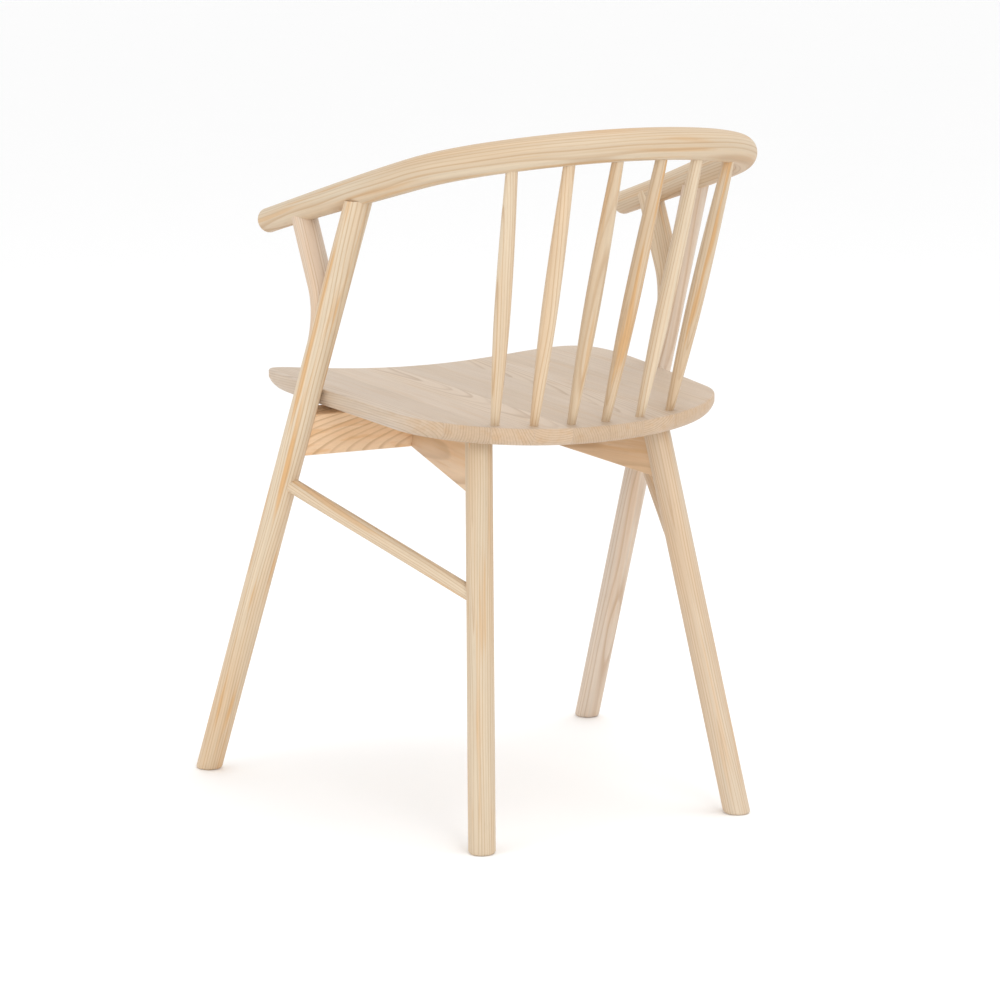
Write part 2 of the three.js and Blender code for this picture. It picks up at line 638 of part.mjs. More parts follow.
// The seat's staves, from the right edge to the left, a glue line apart.
const panel = cut(seatPanel(), seatMortises);
for (let i = 0; i < STAVE_COUNT; i++) {
  const seam = FIRST_STAVE_SEAM + i * STAVE_WIDTH;
  const from = i === 0 ? -SEAT_BLANK / 2 : seam - STAVE_WIDTH + GAP / 2;
  const to = i === STAVE_COUNT - 1 ? SEAT_BLANK / 2 : seam - GAP / 2;
  const slice = new THREE.BoxGeometry(to - from, SEAT_BLANK, SEAT_BLANK);
  slice.translate((from + to) / 2, SEAT_DATUM.y, SEAT_DATUM.height);
  addPiece(`seat_stave_${i + 1}`, panel.intersect(solidOf(slice)), ASH_SEAT);
}

export default chair;
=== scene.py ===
"""Spindle-back wooden armchair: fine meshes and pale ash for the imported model.

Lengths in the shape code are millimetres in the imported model's own frame: the chair faces -Y, its
left side is +X and the floor is z = 0. Meshes are scaled to metres as they are made.
"""

import math
import random

import bmesh
import bpy
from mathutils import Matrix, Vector


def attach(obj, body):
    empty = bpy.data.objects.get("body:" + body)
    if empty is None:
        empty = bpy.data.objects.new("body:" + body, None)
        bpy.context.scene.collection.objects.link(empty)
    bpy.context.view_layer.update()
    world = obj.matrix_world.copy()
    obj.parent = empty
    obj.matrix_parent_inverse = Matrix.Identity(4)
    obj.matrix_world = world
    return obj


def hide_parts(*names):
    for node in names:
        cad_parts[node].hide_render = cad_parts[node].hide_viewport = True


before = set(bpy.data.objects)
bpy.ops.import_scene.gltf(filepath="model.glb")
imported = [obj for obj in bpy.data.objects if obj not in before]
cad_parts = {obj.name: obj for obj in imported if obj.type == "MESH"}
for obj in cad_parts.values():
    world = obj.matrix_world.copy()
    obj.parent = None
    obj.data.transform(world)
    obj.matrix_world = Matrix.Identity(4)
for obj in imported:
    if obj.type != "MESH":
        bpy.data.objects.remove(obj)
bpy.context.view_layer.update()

MM = 0.001
SHRINK = 0.25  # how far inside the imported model's corners a fine stick's skin lies
SIDES = {"left": 1, "right": -1}

# ---------------------------------------------------------------- dimensions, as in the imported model

LEG_RADIUS = 15
LEG_SIDES = 64
FRONT_LEG_TOP, REAR_LEG_TOP = 684, 446  # flat ends: in the bow but for an outer sliver, and in the seat
FOOT_ROUNDING = 3.5
FRONT_FOOT, FRONT_LEAN = (259.6, -264.1), (-0.0654, 0.4427)
REAR_FOOT, REAR_LEAN = (163.4, 212.4), (-0.119, -0.2223)

BOW_CENTRE = (263.6, 750)  # y and z of its centreline at the middle of the back
BOW_TILT = math.radians(13.85)
BOW_ARCS = ((243, 37.7), (136.5, 42.5), (2600, 6.27))  # radius and turn, from the middle to the tip
BOW_RADIUS, ARM_TIP_RADIUS = 17.35, 14
BOW_SIDES = 72
ARM_SWELL_LENGTH = 300
ARM_TIP_ROUNDING = 3
BOW_TONE = 0.93  # how light its timber is beside the other sticks

FORK_RADIUS = 14.5
FORK_TOP = (225.2, 667, 105)  # x, height, and how far ahead of the leg's axis
FORK_CROSSING, FORK_BEND, FORK_END = 555, 588, 510
FORK_INSET = 0.35  # how far inside the leg's skin its lower end lies

SPINDLES = (
    ((110.9, 149.2, 450.5), (135.3, 228.4, 740)),
    ((67.1, 157.3, 447.6), (79.3, 252.0, 745.5)),
    ((21.8, 159.5, 445.5), (27.1, 264.0, 748.8)),
)
SPINDLE_RADII = (5, 9, 6.1)  # foot, belly and head
SPINDLE_BELLY_AT = 0.47
SPINDLE_SIDES = 40
SPINDLE_FOOT_DEPTH = 8  # how far it runs on below its foot's mark, into the seat

SEAT_CENTRE_Y, SEAT_HALF_WIDTH, SEAT_TAPER, SEAT_SPAN = 83, 203.2, 0.086, 200
SEAT_BACK, SEAT_FRONT = (98, 2.2), (318, 6.5)  # reach and power of each half of the outline
SEAT_DATUM = (-24, 453)
SEAT_FALL, SEAT_DROOP, SEAT_DISH, SEAT_DISH_FADE = 8.6, 1.2, 13.8, 0.1
SEAT_THICKNESS, SEAT_BAND, SEAT_UNDERCUT, SEAT_EDGE_ROUNDING = 19.4, 9, 7.5, 2.5
STAVE_WIDTH, FIRST_STAVE_SEAM, STAVE_COUNT = 45.5, -195.5, 10
STAVE_GAP = 0.12  # hairline between two staves
STAVE_RIFT = 0.5  # how far from level, in radians, the pith of a rift-sawn stave may lie
PLAIN_EVERY = 3  # of this many staves, one may have its pith on any side

FRONT_RAIL_THICKNESS, FRONT_RAIL_HEIGHT = 22, 52
FRONT_RAIL_TILT = math.radians(20)
FRONT_RAIL_BOTTOM = (-80, 391.9)
FRONT_RAIL_SHORT = 4  # how far it stops short of the legs' axes
FRONT_RAIL_PITH = (30, -6)  # from the pith to the middle of the lower edge, forward and up
FRONT_RAIL_SLANT = (0.19, 0.07)  # how much each of those grows per millimetre along the rail
SIDE_RAIL_THICKNESS = 20
SIDE_RAIL_FRONT, SIDE_RAIL_REAR = (78.2, -78, 391.9), (118.5, 128, 370.2)
SIDE_RAIL_PAST_FRONT, SIDE_RAIL_SHORT_OF_REAR = 4.5, 3  # where it ends, beside those two marks
SIDE_RAIL_INTO_SEAT = 3
SIDE_RAIL_TONE = 0.84  # how much darker the side rails are than the front rail: they keep less of the rail ash's painted light
BOARD_ROUNDING = 1.6  # eased long edges of the rails

STRETCHER_RADIUS = 8.75
STRETCHER_SIDES = 48
STRETCHER_SHORT = 5  # how far it stops short of each leg's axis
STRETCHER_HEIGHTS = (362, 262)  # on the front leg's axis and on the rear leg's


def leg_axis(foot, lean, side, z):
    return Vector((side * (foot[0] + lean[0] * z), foot[1] + lean[1] * z, z))


def front_axis(side, z):
    return leg_axis(FRONT_FOOT, FRONT_LEAN, side, z)


def rear_axis(side, z):
    return leg_axis(REAR_FOOT, REAR_LEAN, side, z)


# ---------------------------------------------------------------- node helpers


def plug(tree, socket, value):
    if isinstance(value, bpy.types.NodeSocket):
        tree.links.new(value, socket)
    else:
        socket.default_value = value


def math_node(tree, operation, *values):
    node = tree.nodes.new("ShaderNodeMath")
    node.operation = operation
    for socket, value in zip(node.inputs, values):
        plug(tree, socket, value)
    return node.outputs[0]


def attribute(tree, name, output):
    node = tree.nodes.new("ShaderNodeAttribute")
    node.attribute_name = name
    return node.outputs[output]


def stretched(tree, vector, scale):
    node = tree.nodes.new("ShaderNodeVectorMath")
    node.operation = "MULTIPLY"
    plug(tree, node.inputs[0], vector)
    node.inputs[1].default_value = scale
    return node.outputs[0]


def noise(tree, vector, scale, detail=2.0):
    """Soft noise from 0 to 1 over a vector that is first stretched by scale, per metre."""
    node = tree.nodes.new("ShaderNodeTexNoise")
    plug(tree, node.inputs["Vector"], stretched(tree, vector, scale))
    node.inputs["Scale"].default_value = 1.0
    node.inputs["Detail"].default_value = detail
    return node.outputs[0]


def ramp(tree, value, low, high, bottom=0.0, top=1.0):
    """A smooth step of value between low and high."""
    node = tree.nodes.new("ShaderNodeMapRange")
    node.interpolation_type = "SMOOTHSTEP"
    for socket, item in zip(node.inputs, (value, low, high, bottom, top)):
        plug(tree, socket, item)
    return node.outputs[0]


def blend(tree, factor, a, b, kind="MIX"):
    node = tree.nodes.new("ShaderNodeMix")
    node.data_type = "RGBA"
    node.blend_type = kind
    plug(tree, node.inputs[0], factor)
    plug(tree, node.inputs[6], a)
    plug(tree, node.inputs[7], b)
    return node.outputs[2]


def grey(tree, value):
    node = tree.nodes.new("ShaderNodeCombineColor")
    for socket in node.inputs:
        plug(tree, socket, value)
    return node.outputs[0]


def new_material(name):
    material = bpy.data.materials.new(name)
    material.use_nodes = True
    return material, material.node_tree, material.node_tree.nodes["Principled BSDF"]


def bumped(tree, shader, height, strength, distance):
    node = tree.nodes.new("ShaderNodeBump")
    node.inputs["Strength"].default_value = strength
    node.inputs["Distance"].default_value = distance
    plug(tree, node.inputs["Height"], height)
    plug(tree, shader.inputs["Normal"], node.outputs[0])


# ---------------------------------------------------------------- materials

RING_SWAY, RING_WAVER = 0.017, 0.0011  # full range, in metres, of the rings' slow and quick wander
END_GRAIN_TINT = (0.96, 0.87, 0.76, 1)
PINK_TINT = (1.03, 1.06, 1.2, 1)


def wood(name, pale, warm, gold, late, ring, line_depth, streak_depth):
    """Ash under a clear matt lacquer.

    The grain vector runs along the timber in Y, with the tree's pith at X = Z = 0, so the growth
    rings come out as lines, arches or end grain according to how the surface cuts them.
    """
    material, tree, shader = new_material(name)
    grain = attribute(tree, "grain", "Vector")
    split = tree.nodes.new("ShaderNodeSeparateXYZ")
    plug(tree, split.inputs[0], grain)
    across, through = split.outputs[0], split.outputs[2]

    # Growth rings: the distance from the pith, which wanders along the tree, counted in years.
    sway = math_node(tree, "SUBTRACT", noise(tree, grain, (9, 2.2, 9)), 0.5)
    waver = math_node(tree, "SUBTRACT", noise(tree, grain, (70, 9, 70)), 0.5)
    squares = math_node(
        tree, "MULTIPLY_ADD", across, across, math_node(tree, "MULTIPLY", through, through)
    )
    radius = math_node(tree, "SQRT", squares)
    radius = math_node(tree, "MULTIPLY_ADD", sway, RING_SWAY, radius)
    radius = math_node(tree, "MULTIPLY_ADD", waver, RING_WAVER, radius)
    count = math_node(tree, "DIVIDE", radius, ring)
    share = math_node(tree, "FRACT", count)
    year = tree.nodes.new("ShaderNodeTexWhiteNoise")
    year.noise_dimensions = "1D"
    plug(tree, year.inputs["W"], math_node(tree, "FLOOR", count))
    # Each year's late wood: a dark line that builds up slowly and stops quickly, in some years darker.
    rise = ramp(tree, share, 0.5, 0.88)
    drop = ramp(tree, share, 0.88, 1.0, 1.0, 0.0)
    strength = math_node(tree, "MULTIPLY_ADD", year.outputs["Value"], 0.6, 0.45)
    line = math_node(tree, "MULTIPLY", math_node(tree, "MULTIPLY", rise, drop), strength)

    # Fine fibres, streaks and patches along the grain, and open pores, mostly in the early wood.
    fibre = noise(tree, grain, (1500, 26, 1500), 3.0)
    streak = noise(tree, grain, (330, 5, 330), 2.0)
    patch = noise(tree, grain, (34, 2.4, 34), 2.0)
    early = ramp(tree, share, 0.05, 0.4, 1.0, 0.25)
    pore = ramp(tree, noise(tree, grain, (2300, 70, 2300)), 0.6, 0.72)
    pore = math_node(tree, "MULTIPLY", pore, early)

    heart = noise(tree, grain, (120, 5.5, 120), 2.0)
    colour = blend(tree, ramp(tree, patch, 0.35, 0.7), (*pale, 1), (*warm, 1))
    heart = ramp(tree, heart, 0.52, 0.7, 0.0, 0.6)
    heart = math_node(tree, "MULTIPLY", heart, attribute(tree, "heart", "Fac"))
    colour = blend(tree, heart, colour, (*gold, 1))
    colour = blend(tree, math_node(tree, "MULTIPLY", line, line_depth), colour, (*late, 1))
    colour = blend(tree, math_node(tree, "MULTIPLY", pore, 0.22), colour, (*(c * 0.6 for c in late), 1))
    level = math_node(tree, "MULTIPLY_ADD", streak, streak_depth, 1 - streak_depth / 2)
    level = math_node(tree, "MULTIPLY", level, math_node(tree, "MULTIPLY_ADD", fibre, 0.16, 0.92))
    level = math_node(tree, "MULTIPLY", level, attribute(tree, "tone", "Fac"))
    lighter_end = math_node(tree, "MULTIPLY_ADD", attribute(tree, "cut", "Fac"), 0.02, 1.0)
    level = math_node(tree, "MULTIPLY", level, lighter_end)
    colour = blend(tree, 1.0, colour, grey(tree, level), "MULTIPLY")
    colour = blend(tree, attribute(tree, "cut", "Fac"), colour, END_GRAIN_TINT, "MULTIPLY")
    colour = blend(tree, attribute(tree, "pink", "Fac"), colour, PINK_TINT, "MULTIPLY")
    plug(tree, shader.inputs["Base Color"], colour)
    plug(tree, shader.inputs["Roughness"], math_node(tree, "MULTIPLY_ADD", fibre, 0.2, 0.4))
    shader.inputs["Specular IOR Level"].default_value = 0.38
    relief = math_node(tree, "ADD", math_node(tree, "MULTIPLY", line, 0.6), fibre)
    relief = math_node(tree, "SUBTRACT", relief, pore)
    bumped(tree, shader, relief, 0.35, 0.00012)
    return material


def zinc():
    """Zinc-plated steel with faint turned lines and cloudy roughness."""
    material, tree, shader = new_material("zinc_plate")
    place = tree.nodes.new("ShaderNodeTexCoord").outputs["Object"]
    cloud = noise(tree, place, (420, 420, 420), 3.0)
    turned = noise(tree, place, (60, 60, 5200), 1.0)
    plug(tree, shader.inputs["Base Color"], blend(tree, cloud, (0.52, 0.53, 0.55, 1), (0.68, 0.69, 0.7, 1)))
    plug(tree, shader.inputs["Roughness"], math_node(tree, "MULTIPLY_ADD", cloud, 0.25, 0.25))
    shader.inputs["Metallic"].default_value = 1.0
    bumped(tree, shader, turned, 0.2, 0.00005)
    return material


def beech():
    """Plain beech dowel: warm, with short dark flecks along it."""
    material, tree, shader = new_material("beech_dowel")
    place = tree.nodes.new("ShaderNodeTexCoord").outputs["Object"]
    fleck = noise(tree, place, (1900, 260, 1900), 2.0)
    tint = noise(tree, place, (120, 30, 120), 2.0)
    colour = blend(tree, tint, (0.56, 0.33, 0.17, 1), (0.66, 0.42, 0.24, 1))
    colour = blend(tree, ramp(tree, fleck, 0.6, 0.75, 0.0, 0.5), colour, (0.3, 0.15, 0.07, 1))
    plug(tree, shader.inputs["Base Color"], colour)
    plug(tree, shader.inputs["Roughness"], math_node(tree, "MULTIPLY_ADD", fleck, 0.2, 0.55))
    bumped(tree, shader, fleck, 0.3, 0.0001)
    return material


ASH_STICK = wood(
    "ash_stick",
    pale=(0.625, 0.512, 0.372),
    warm=(0.605, 0.448, 0.292),
    gold=(0.60, 0.365, 0.172),
    late=(0.42, 0.25, 0.12),
    ring=0.0029,
    line_depth=0.58,
    streak_depth=0.22,
)
ASH_SEAT = wood(
    "ash_seat",
    pale=(0.56, 0.46, 0.365),
    warm=(0.54, 0.43, 0.325),
    gold=(0.53, 0.395, 0.27),
    late=(0.375, 0.265, 0.175),
    ring=0.0027,
    line_depth=0.7,
    streak_depth=0.18,
)
# Rail ash: lighter and more orange than the sticks' ash. Part of this is the rails' own warmer colour and
# part is painted light, which lifts the rails' faces that lie in the seat's shade. In direct light the
# rails come out lighter and more orange than the rest.
RAIL_ASH_WITH_PAINTED_LIGHT = wood(
    "rail_ash_with_painted_light",
    pale=(0.80, 0.58, 0.38),
    warm=(0.78, 0.52, 0.30),
    gold=(0.70, 0.41, 0.19),
    late=(0.46, 0.27, 0.13),
    ring=0.0044,
    line_depth=0.62,
    streak_depth=0.12,
)
BEECH_DOWEL = beech()
ZINC_PLATE = zinc()

# ---------------------------------------------------------------- timber

# How much golden heartwood a piece shows, where it isn't the usual amount of 1.
HEARTWOOD = {
    "spindle_left_1": 0.7,
    "spindle_left_2": 0.2,
    "spindle_right_1": 2.2,
    "spindle_right_2": 0.3,
    "spindle_right_3": 1.9,
    "front_leg_left": 1.7,
    "front_leg_right": 0.5,
    "rear_leg_right": 0.6,
    "arm_fork_left": 0.5,
}
PINKER = {"front_leg_right": 1.0, "arm_fork_left": 0.9, "rear_leg_right": 0.3}  # 1 is pinkest


class Timber:
    """One piece's place in its tree, how its grain runs out, and its colour among the others."""

    def __init__(self, name, near, far, runout=0.02, tone=0.05, spread=math.pi):
        dice = random.Random(name)
        angle = dice.uniform(-spread, spread)
        distance = dice.uniform(near, far)
        self.pith = (distance * math.cos(angle), dice.uniform(0, 9000), distance * math.sin(angle))
        self.runout = (dice.uniform(-runout, runout), dice.uniform(-runout, runout))
        self.tone = 1 + dice.uniform(-tone, tone)
        self.heart = HEARTWOOD.get(name, 1.0)
        self.pink = PINKER.get(name, 0.0)

    def at(self, across, along, through):
        """The grain vector of a point, in metres, from its place in the piece in millimetres."""
        x = across + self.pith[0] + along * self.runout[0]
        z = through + self.pith[2] + along * self.runout[1]
        return (x * MM, (along + self.pith[1]) * MM, z * MM)


# ---------------------------------------------------------------- mesh helpers


def make_piece(name, points, faces, grain, cut, timber, material, slot, nodes, sharp=40):
    mesh = bpy.data.meshes.new(name)
    mesh.from_pydata([tuple(c * MM for c in p) for p in points], [], faces)
    for key, kind, values in (
        ("grain", "FLOAT_VECTOR", [c for g in grain for c in g]),
        ("cut", "FLOAT", cut),
        ("tone", "FLOAT", [timber.tone] * len(points)),
        ("heart", "FLOAT", [timber.heart] * len(points)),
        ("pink", "FLOAT", [timber.pink] * len(points)),
    ):
        layer = mesh.attributes.new(key, kind, "POINT")
        layer.data.foreach_set("vector" if kind == "FLOAT_VECTOR" else "value", values)
    mesh.validate()
    mesh.shade_smooth()
    mesh.set_sharp_from_angle(angle=math.radians(sharp))
    mesh.materials.append(material)
    piece = bpy.data.objects.new(name, mesh)
    bpy.context.scene.collection.objects.link(piece)
    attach(piece, "root")
    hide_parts(*nodes)
    return piece


def lofted(rings, grain):
    """Points, faces, grain and cut of a closed skin over rings, each end closed by a fan."""
    count = len(rings[0])
    points = [p for ring in rings for p in ring]
    vectors = [g for ring in grain for g in ring]
    cut = [0.0] * len(points)
    faces = []
    for i in range(len(rings) - 1):
        for j in range(count):
            k = (j + 1) % count
            faces.append((i * count + j, i * count + k, (i + 1) * count + k, (i + 1) * count + j))
    for ring, flip in ((0, True), (len(rings) - 1, False)):
        # The end has points of its own, so that its end grain stops at its edge.
        first = len(points)
        points += rings[ring]
        vectors += grain[ring]
        middle = sum((Vector(p) for p in rings[ring]), Vector()) / count
        points.append(tuple(middle))
        vectors.append(tuple(sum(g[i] for g in grain[ring]) / count for i in range(3)))
        cut += [1.0] * (count + 1)
        for j in range(count):
            a, b = first + j, first + (j + 1) % count
            faces.append((b, a, first + count) if flip else (a, b, first + count))
    return points, faces, vectors, cut


def stick(name, stations, sides, timber, nodes):
    """A round stick over stations of (centre, across, up, radius, along)."""
    rings, grain = [], []
    for centre, across, up, radius, along in stations:
        ring, vectors = [], []
        for i in range(sides):
            a = 2 * math.pi * i / sides
            u, v = (radius - SHRINK) * math.cos(a), (radius - SHRINK) * math.sin(a)
            ring.append(tuple(centre + across * u + up * v))
            vectors.append(timber.at(u, along, v))
        rings.append(ring)
        grain.append(vectors)
    return make_piece(name, *lofted(rings, grain), timber, ASH_STICK, "ash_frame", nodes)


def basis(ahead):
    across = Vector((1, 0, 0)).cross(ahead).normalized()
    return across, ahead.cross(across)


def smooth(share):
    return share * share * (3 - 2 * share)


# ---------------------------------------------------------------- sticks


def leg(name, axis, side, top, timber):
    """A leaning leg with a level, rounded foot. It runs up into the piece above it."""
    ahead = (axis(side, 1) - axis(side, 0)).normalized()
    across, up = basis(ahead)
    skin = LEG_RADIUS - SHRINK
    rings, grain = [], []

    def level(z, radius):
        ring, vectors = [], []
        for i in range(LEG_SIDES):
            a = 2 * math.pi * i / LEG_SIDES
            u, v = radius * math.cos(a), radius * math.sin(a)
            p = axis(side, z) + across * u + up * v
            p += ahead * ((z - p.z) / ahead.z)
            ring.append(tuple(p))
            vectors.append(timber.at(u, z / ahead.z, v))
        rings.append(ring)
        grain.append(vectors)

    for i in range(7):
        a = i / 6 * math.pi / 2
        level(FOOT_ROUNDING * (1 - math.cos(a)), skin - FOOT_ROUNDING * (1 - math.sin(a)))
    steps = 60
    for i in range(1, steps + 1):
        level(FOOT_ROUNDING + (top - FOOT_ROUNDING) * i / steps, skin)
    return make_piece(name, *lofted(rings, grain), timber, ASH_STICK, "ash_frame", [name])


def bow_stations():
    """The centreline from the right arm's tip to the left one's, a station every few millimetres."""
    half = [(0.0, 0.0, 0.0, 0.0)]
    for radius, degrees in BOW_ARCS:
        turn = math.radians(degrees)
        steps = max(4, round(radius * turn / 4))
        step = turn / steps
        chord = 2 * radius * math.sin(step / 2)
        for _ in range(steps):
            x, q, heading, distance = half[-1]
            middle = heading + step / 2
            x, q = x + chord * math.cos(middle), q - chord * math.sin(middle)
            half.append((x, q, heading + step, distance + radius * step))
    total = half[-1][3]
    normal = Vector((0, -math.sin(BOW_TILT), math.cos(BOW_TILT)))
    stations = []
    for sign, run in ((-1, half[:0:-1]), (1, half)):
        for x, q, heading, distance in run:
            centre = Vector(
                (sign * x, BOW_CENTRE[0] + q * math.cos(BOW_TILT), BOW_CENTRE[1] + q * math.sin(BOW_TILT))
            )
            fall = -math.sin(heading) * sign
            ahead = Vector((math.cos(heading), fall * math.cos(BOW_TILT), fall * math.sin(BOW_TILT)))
            share = min(1, (total - distance) / ARM_SWELL_LENGTH)
            radius = ARM_TIP_RADIUS + (BOW_RADIUS - ARM_TIP_RADIUS) * smooth(share)
            stations.append((centre, normal.cross(ahead), normal, radius, sign * distance, ahead))
    rounded = []
    for end, sign in ((stations[0], -1), (stations[-1], 1)):
        centre, across, up, radius, along, ahead = end
        for i in range(1, 9):
            a = i / 8 * math.pi / 2
            shift = sign * ARM_TIP_ROUNDING * math.sin(a)
            smaller = radius - ARM_TIP_ROUNDING * (1 - math.cos(a))
            rounded.append((centre + ahead * shift, across, up, smaller, along + shift, ahead))
    both = rounded[7::-1] + stations + rounded[8:]
    return [s[:5] for s in both]


def fork(side, timber, name):
    """The arm's second support. It curves out of the front leg and runs straight up to the arm."""
    x, height, ahead_of_leg = FORK_TOP
    top = front_axis(side, height)
    top.y -= ahead_of_leg
    top.x = side * x
    crossing = front_axis(side, FORK_CROSSING)
    bend = top.lerp(crossing, (height - FORK_BEND) / (height - FORK_CROSSING))
    end = front_axis(side, FORK_END)
    curve_steps = 40
    straight_steps = 20
    path = []
    for i in range(curve_steps, -1, -1):
        t = i / curve_steps
        centre = bend * (1 - t) ** 2 + crossing * (2 * t * (1 - t)) + end * t**2
        ahead = ((bend - crossing) * (1 - t) + (crossing - end) * t).normalized()
        path.append((centre, ahead, FORK_RADIUS + (LEG_RADIUS - FORK_INSET - FORK_RADIUS) * t))
    ahead = (top - bend).normalized()
    for i in range(1, straight_steps + 1):
        path.append((bend.lerp(top, i / straight_steps), ahead, FORK_RADIUS))
    stations, along, last = [], 0, path[0][0]
    for centre, ahead, radius in path:
        along += (centre - last).length
        last = centre
        stations.append((centre, *basis(ahead), radius, along))
    return stick(name, stations, LEG_SIDES, timber, [name])


def spindle(name, foot, head, timber):
    ahead = (head - foot).normalized()
    length = (head - foot).length
    across, up = basis(ahead)
    low, belly, high = SPINDLE_RADII
    steps = 60
    stations = [(foot - ahead * SPINDLE_FOOT_DEPTH, across, up, low, -SPINDLE_FOOT_DEPTH)]
    for i in range(steps + 1):
        share = i / steps
        below = share < SPINDLE_BELLY_AT
        end = low if below else high
        rise = share / SPINDLE_BELLY_AT if below else (1 - share) / (1 - SPINDLE_BELLY_AT)
        radius = end + (belly - end) * math.sin(rise * math.pi / 2)
        stations.append((foot + ahead * share * length, across, up, radius, share * length))
    return stick(name, stations, SPINDLE_SIDES, timber, [name])


def stretcher(name, side, timber):
    start, stop = front_axis(side, STRETCHER_HEIGHTS[0]), rear_axis(side, STRETCHER_HEIGHTS[1])
    ahead = (stop - start).normalized()
    across, up = basis(ahead)
    length = (stop - start).length
    steps = 40
    stations = []
    for i in range(steps + 1):
        along = STRETCHER_SHORT + (length - 2 * STRETCHER_SHORT) * i / steps
        stations.append((start + ahead * along, across, up, STRETCHER_RADIUS, along))
    return stick(name, stations, STRETCHER_SIDES, timber, [name])


# ---------------------------------------------------------------- seat


def seat_outline(angle, inset):
    s, c = math.sin(angle), math.cos(angle)
    reach, power = SEAT_BACK if c >= 0 else SEAT_FRONT
    wide = math.copysign(abs(s) ** (2 / power), s)
    ahead = math.copysign(abs(c) ** (2 / power), c) * (reach - inset)
    half_width = SEAT_HALF_WIDTH * (1 - SEAT_TAPER * ahead / SEAT_SPAN)
    return wide * (half_width - inset), SEAT_CENTRE_Y + ahead


def seat_height(x, y):
    back = (y - SEAT_DATUM[0]) / SEAT_SPAN
    aside = x / SEAT_SPAN
    dish = SEAT_DISH * aside**2 * (1 - SEAT_DISH_FADE * back)
    return SEAT_DATUM[1] - SEAT_FALL * back - SEAT_DROOP * back**2 + dish


def seat_profile():
    """The edge's section, from the underside to the top: (share of the outline, inset, depth)."""
    deep, under, r = SEAT_THICKNESS, SEAT_UNDERCUT, SEAT_EDGE_ROUNDING
    profile = [(s, under + 1, deep) for s in (0.04, 0.2, 0.4, 0.6, 0.8, 0.93)]
    profile += [(1, under + 1.2, deep), (1, under + 0.3, deep - 0.25), (1, under - 0.5, deep - 0.9)]
    for i in range(1, 9):
        share = i / 8
        bulge = 0.9 * math.sin(share * math.pi)
        inset = (under - 0.5) * (1 - share) - bulge * 0.6
        profile.append((1, max(inset, 0), (deep - 0.9) * (1 - share) + SEAT_BAND * share + bulge))
    profile += [(1, 0, SEAT_BAND - 2), (1, 0, SEAT_BAND - 4)]
    for i in range(9):
        a = i / 8 * math.pi / 2
        profile.append((1, r * (1 - math.cos(a)), r * (1 - math.sin(a))))
    profile += [(s, r, 0) for s in (0.985, 0.95, 0.88, 0.78, 0.66, 0.54, 0.42, 0.3, 0.18, 0.06)]
    return profile


def seat_body():
    """The whole panel as a bmesh in millimetres, before it is cut into staves."""
    body = bmesh.new()
    count = 360
    samples = 20000
    # Even spacing along the outline, by walking a finely sampled one.
    fine = [seat_outline(2 * math.pi * i / samples, 0) for i in range(samples + 1)]
    distance = [0.0]
    for a, b in zip(fine, fine[1:]):
        distance.append(distance[-1] + math.dist(a, b))
    angles, k = [], 0
    for i in range(count):
        want = distance[-1] * i / count
        while distance[k + 1] < want:
            k += 1
        part = (want - distance[k]) / (distance[k + 1] - distance[k])
        angles.append(-2 * math.pi * (k + part) / samples)
    rings = []
    for share, inset, depth in seat_profile():
        ring = []
        for angle in angles:
            x, y = seat_outline(angle, inset)
            x, y = x * share, SEAT_CENTRE_Y + (y - SEAT_CENTRE_Y) * share
            ring.append(body.verts.new((x, y, seat_height(x, y) - depth)))
        rings.append(ring)
    for low, high in zip(rings, rings[1:]):
        for i in range(count):
            j = (i + 1) % count
            body.faces.new((low[i], low[j], high[j], high[i]))
    body.faces.new(rings[0][::-1])
    body.faces.new(rings[-1])
    return body


def stave(body, index):
    name = f"seat_stave_{index + 1}"
    seam = FIRST_STAVE_SEAM + index * STAVE_WIDTH
    low, high = seam - STAVE_WIDTH + STAVE_GAP / 2, seam - STAVE_GAP / 2
    piece = body.copy()
    cuts = []
    if index > 0:
        cuts.append((low, -1))
    if index < STAVE_COUNT - 1:
        cuts.append((high, 1))
    for x, sign in cuts:
        parts = piece.verts[:] + piece.edges[:] + piece.faces[:]
        made = bmesh.ops.bisect_plane(
            piece, geom=parts, plane_co=(x, 0, 0), plane_no=(sign, 0, 0), clear_outer=True
        )
        edges = [e for e in made["geom_cut"] if isinstance(e, bmesh.types.BMEdge)]
        bmesh.ops.edgeloop_fill(piece, edges=edges)
    piece.normal_update()
    piece.verts.index_update()
    # Most staves have the pith about level beside them, which draws straight lines on top. The
    # rest may have it on any side, also under or over them, which can draw arches.
    spread = math.pi if index % PLAIN_EVERY == 0 else STAVE_RIFT
    timber = Timber(name, 45, 90, runout=0.008, tone=0.05, spread=spread)
    points = [tuple(v.co) for v in piece.verts]
    faces = [tuple(v.index for v in f.verts) for f in piece.faces]
    middle = (low + high) / 2
    grain = [timber.at(p[0] - middle, p[1], p[2] - SEAT_DATUM[1]) for p in points]
    cut = [min(1.0, abs(v.normal.y) * 1.2) for v in piece.verts]
    piece.free()
    return make_piece(name, points, faces, grain, cut, timber, ASH_SEAT, "ash_seat", [name], sharp=50)


# ---------------------------------------------------------------- rails


def board_section(width, bottom, top, r=BOARD_ROUNDING):
    """A rectangle with eased corners, anticlockwise, as (across, height)."""
    corners = (
        (width / 2 - r, bottom + r, -90),
        (width / 2 - r, top - r, 0),
        (-width / 2 + r, top - r, 90),
        (-width / 2 + r, bottom + r, 180),
    )
    outline = []
    for x, z, start in corners:
        for i in range(6):
            a = math.radians(start + 18 * i)
            outline.append((x + r * math.cos(a), z + r * math.sin(a)))
    return outline


